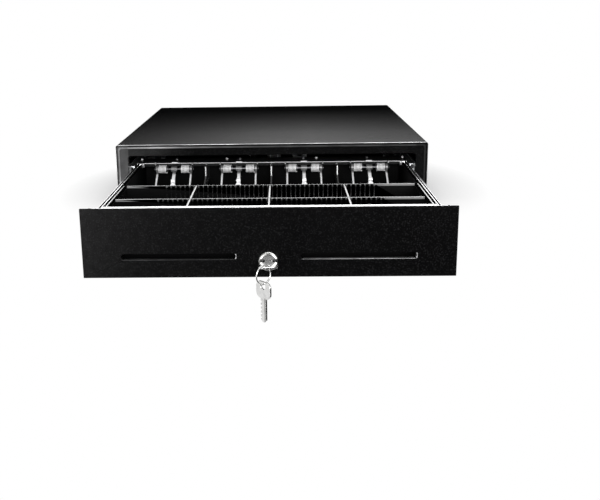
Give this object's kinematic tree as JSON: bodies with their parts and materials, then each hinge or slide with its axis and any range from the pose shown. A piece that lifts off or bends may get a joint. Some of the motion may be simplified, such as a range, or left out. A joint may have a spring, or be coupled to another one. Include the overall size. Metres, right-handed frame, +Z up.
{
  "type": "cash drawer",
  "caption": "Counter cash drawer in a black sheet-metal case, pulled out on ball slides, with a note tray with spring clips, a lift-out coin tray, a cam lock with keys and an electric latch.",
  "frame": {"origin": "centre of the case's footprint, on the plane that the feet stand on", "axes": "+X to the right seen from the front, +Y to the rear of the case, +Z up"},
  "size_m": [0.41, 0.7313, 0.1277],
  "materials": {
    "black_coat": "fine-textured black powder coat",
    "zinc": "bright zinc plate",
    "black_plastic": "moulded black plastic",
    "black_rubber": "moulded rubber",
    "bright_steel": "bright nickel plate",
    "spring_steel": "bright spring steel",
    "dark_screw": "black oxide",
    "coil_steel": "plated steel"
  },
  "bodies": {
    "case": {"case_shell": "black_coat", "front_frame": "black_coat", "base_plate": "zinc", "rear_panel": "black_coat", "cable_socket": "black_plastic", "rubber_feet": "black_rubber", "case_screws": "dark_screw", "right_slide_bracket": "zinc", "left_slide_bracket": "zinc", "bracket_screws": "zinc", "right_slide_outer": "zinc", "left_slide_outer": "zinc", "latch_bracket": "zinc", "latch_pivot": "zinc", "solenoid": "coil_steel", "microswitch": "black_plastic", "eject_spring": "spring_steel"},
    "drawer": {"drawer_pan": "zinc", "fascia": "black_coat", "fascia_screws": "zinc", "striker": "zinc", "lock_body": "bright_steel", "lock_nut": "zinc", "note_tray": "black_plastic", "clip_rail": "black_coat", "corner_brackets": "zinc", "rail_screws": "zinc", "clip_screws": "dark_screw", "clip_rods": "spring_steel", "clip_springs": "spring_steel", "right_slide_inner": "zinc", "left_slide_inner": "zinc"},
    "coin_insert": {"coin_tray": "black_plastic", "front_coin_dividers": "black_plastic", "rear_coin_dividers": "black_plastic"},
    "lock_barrel": {"lock_plug": "coil_steel", "lock_cam": "zinc", "cam_screw": "zinc", "inserted_key": "bright_steel"},
    "ring": {"key_ring": "bright_steel"},
    "second_key": {"hanging_key": "bright_steel"},
    "latch": {"latch_hook": "coil_steel"},
    "plunger": {"solenoid_plunger": "coil_steel"},
    "right_middle": {"right_slide_middle": "zinc"},
    "right_outer_balls": {"right_outer_cage": "coil_steel"},
    "right_inner_balls": {"right_inner_cage": "coil_steel"},
    "left_middle": {"left_slide_middle": "zinc"},
    "left_outer_balls": {"left_outer_cage": "coil_steel"},
    "left_inner_balls": {"left_inner_cage": "coil_steel"},
    "clip_1": {"clip_bail_1": "spring_steel", "clip_lever_1": "spring_steel"},
    "clip_2": {"clip_bail_2": "spring_steel", "clip_lever_2": "spring_steel"},
    "clip_3": {"clip_bail_3": "spring_steel", "clip_lever_3": "spring_steel"},
    "clip_4": {"clip_bail_4": "spring_steel", "clip_lever_4": "spring_steel"}
  },
  "joints": [
    {"name": "drawer_slide", "type": "slide", "parent": "case", "child": "drawer", "axis": [0, -1, 0], "range_m": [-0.282, 0]},
    {"name": "right_middle_slide", "type": "slide", "parent": "case", "child": "right_middle", "axis": [0, -1, 0], "range_m": [-0.141, 0]},
    {"name": "right_outer_balls_slide", "type": "slide", "parent": "case", "child": "right_outer_balls", "axis": [0, -1, 0], "range_m": [-0.0705, 0]},
    {"name": "right_inner_balls_slide", "type": "slide", "parent": "case", "child": "right_inner_balls", "axis": [0, -1, 0], "range_m": [-0.2115, 0]},
    {"name": "left_middle_slide", "type": "slide", "parent": "case", "child": "left_middle", "axis": [0, -1, 0], "range_m": [-0.141, 0]},
    {"name": "left_outer_balls_slide", "type": "slide", "parent": "case", "child": "left_outer_balls", "axis": [0, -1, 0], "range_m": [-0.0705, 0]},
    {"name": "left_inner_balls_slide", "type": "slide", "parent": "case", "child": "left_inner_balls", "axis": [0, -1, 0], "range_m": [-0.2115, 0]},
    {"name": "coin_tray_lift", "type": "slide", "parent": "drawer", "child": "coin_insert", "axis": [0, 0, 1], "range_m": [0, 0.06]},
    {"name": "clip_1_hinge", "type": "hinge", "parent": "drawer", "child": "clip_1", "pos_m": [-0.1299, -0.1955, 0.065], "axis": [-1, 0, 0], "range_deg": [0, 66], "stiffness_Nm_per_rad": 0.02, "springref_deg": -34.38},
    {"name": "clip_2_hinge", "type": "hinge", "parent": "drawer", "child": "clip_2", "pos_m": [-0.0433, -0.1955, 0.065], "axis": [-1, 0, 0], "range_deg": [0, 66], "stiffness_Nm_per_rad": 0.02, "springref_deg": -34.38},
    {"name": "clip_3_hinge", "type": "hinge", "parent": "drawer", "child": "clip_3", "pos_m": [0.0433, -0.1955, 0.065], "axis": [-1, 0, 0], "range_deg": [0, 66], "stiffness_Nm_per_rad": 0.02, "springref_deg": -34.38},
    {"name": "clip_4_hinge", "type": "hinge", "parent": "drawer", "child": "clip_4", "pos_m": [0.1299, -0.1955, 0.065], "axis": [-1, 0, 0], "range_deg": [0, 66], "stiffness_Nm_per_rad": 0.02, "springref_deg": -34.38},
    {"name": "lock_turn", "type": "hinge", "parent": "drawer", "child": "lock_barrel", "pos_m": [0, -0.4895, 0.0278], "axis": [0, 1, 0], "range_deg": [0, 90]},
    {"name": "key_ring_swing", "type": "hinge", "parent": "lock_barrel", "child": "ring", "pos_m": [-0.0045, -0.51425, 0.0288], "axis": [-0.7071, -0.7071, 0], "range_deg": [-15, 25]},
    {"name": "second_key_swing", "type": "hinge", "parent": "ring", "child": "second_key", "pos_m": [-0.0045, -0.51425, 0.0116], "axis": [-0.7071, -0.7071, 0], "range_deg": [-55, 80]},
    {"name": "latch_tip", "type": "hinge", "parent": "case", "child": "latch", "pos_m": [0, 0.1705, 0.036], "axis": [-1, 0, 0], "range_deg": [-12, 0]},
    {"name": "plunger_slide", "type": "slide", "parent": "case", "child": "plunger", "axis": [0, 0, -1], "range_m": [-0.0039, 0]}
  ],
  "couplings": [
    {"joint": "right_middle_slide", "follows": "drawer_slide", "ratio": 0.5},
    {"joint": "right_outer_balls_slide", "follows": "drawer_slide", "ratio": 0.25},
    {"joint": "right_inner_balls_slide", "follows": "drawer_slide", "ratio": 0.75},
    {"joint": "left_middle_slide", "follows": "drawer_slide", "ratio": 0.5},
    {"joint": "left_outer_balls_slide", "follows": "drawer_slide", "ratio": 0.25},
    {"joint": "left_inner_balls_slide", "follows": "drawer_slide", "ratio": 0.75},
    {"joint": "plunger_slide", "follows": "latch_tip", "m_per_rad": 0.0179}
  ]
}
